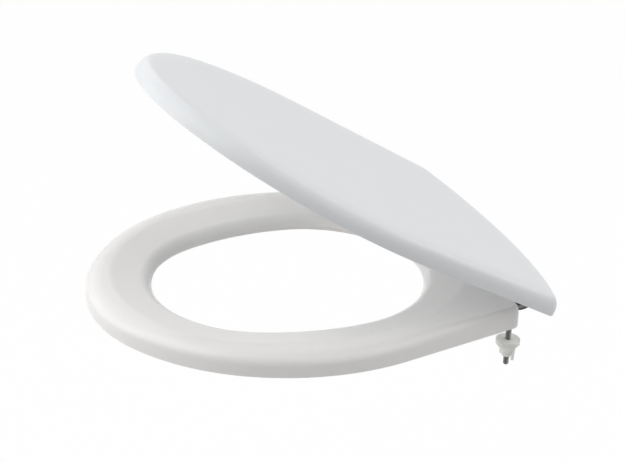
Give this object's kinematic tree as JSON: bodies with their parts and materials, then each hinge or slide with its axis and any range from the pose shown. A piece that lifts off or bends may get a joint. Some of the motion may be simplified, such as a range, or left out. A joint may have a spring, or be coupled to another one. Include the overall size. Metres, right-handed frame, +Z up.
{
  "type": "toilet seat with lid",
  "caption": "White toilet seat: a dished ring and a wrap-over lid that swing on metal posts, with threaded studs and plastic wing nuts that clamp it to a bowl.",
  "frame": {"origin": "midway between the two mounting studs, on the top of the bowl", "axes": "+X to the right seen from the front, -Y to the front, +Z up"},
  "size_m": [0.3778, 0.4604, 0.3338],
  "materials": {
    "seat_plastic": "gloss",
    "lid_plastic": "gloss",
    "nut_plastic": "satin",
    "nylon": "satin",
    "hinge_metal": "polished",
    "stud_steel": "satin",
    "pin_steel": "satin",
    "rubber": "matte",
    "bumper_rubber": "matte"
  },
  "bodies": {
    "hinges": {"right_hinge_post": "hinge_metal", "left_hinge_post": "hinge_metal", "right_base_plate": "hinge_metal", "left_base_plate": "hinge_metal", "right_base_gasket": "rubber", "left_base_gasket": "rubber", "right_stud": "stud_steel", "left_stud": "stud_steel"},
    "seat": {"seat_ring": "seat_plastic", "right_seat_bush": "nylon", "left_seat_bush": "nylon", "right_front_bumper": "bumper_rubber", "left_front_bumper": "bumper_rubber", "right_rear_bumper": "bumper_rubber", "left_rear_bumper": "bumper_rubber"},
    "lid": {"lid": "lid_plastic", "right_lid_bush": "nylon", "left_lid_bush": "nylon", "right_lid_bumper": "bumper_rubber", "left_lid_bumper": "bumper_rubber"},
    "right_pin": {"right_hinge_pin": "pin_steel", "right_pin_clip": "pin_steel"},
    "right_nut": {"right_nut": "nut_plastic"},
    "left_pin": {"left_hinge_pin": "pin_steel", "left_pin_clip": "pin_steel"},
    "left_nut": {"left_nut": "nut_plastic"}
  },
  "joints": [
    {"name": "seat_hinge", "type": "hinge", "parent": "hinges", "child": "seat", "pos_m": [0, 0.0105, 0.0305], "axis": [-1, 0, 0], "range_deg": [0, 90]},
    {"name": "lid_hinge", "type": "hinge", "parent": "seat", "child": "lid", "pos_m": [0, 0.0105, 0.0305], "axis": [1, 0, 0], "range_deg": [-66.4, 30.6]},
    {"name": "right_pin_turn", "type": "hinge", "parent": "hinges", "child": "right_pin", "pos_m": [0.0775, 0.0105, 0.0305], "axis": [1, 0, 0], "continuous": true},
    {"name": "right_nut_run", "type": "slide", "parent": "hinges", "child": "right_nut", "axis": [0, 0, 1], "range_m": [-0.025, 0.041]},
    {"name": "left_pin_turn", "type": "hinge", "parent": "hinges", "child": "left_pin", "pos_m": [-0.0775, 0.0105, 0.0305], "axis": [1, 0, 0], "continuous": true},
    {"name": "left_nut_run", "type": "slide", "parent": "hinges", "child": "left_nut", "axis": [0, 0, 1], "range_m": [-0.025, 0.041]}
  ]
}
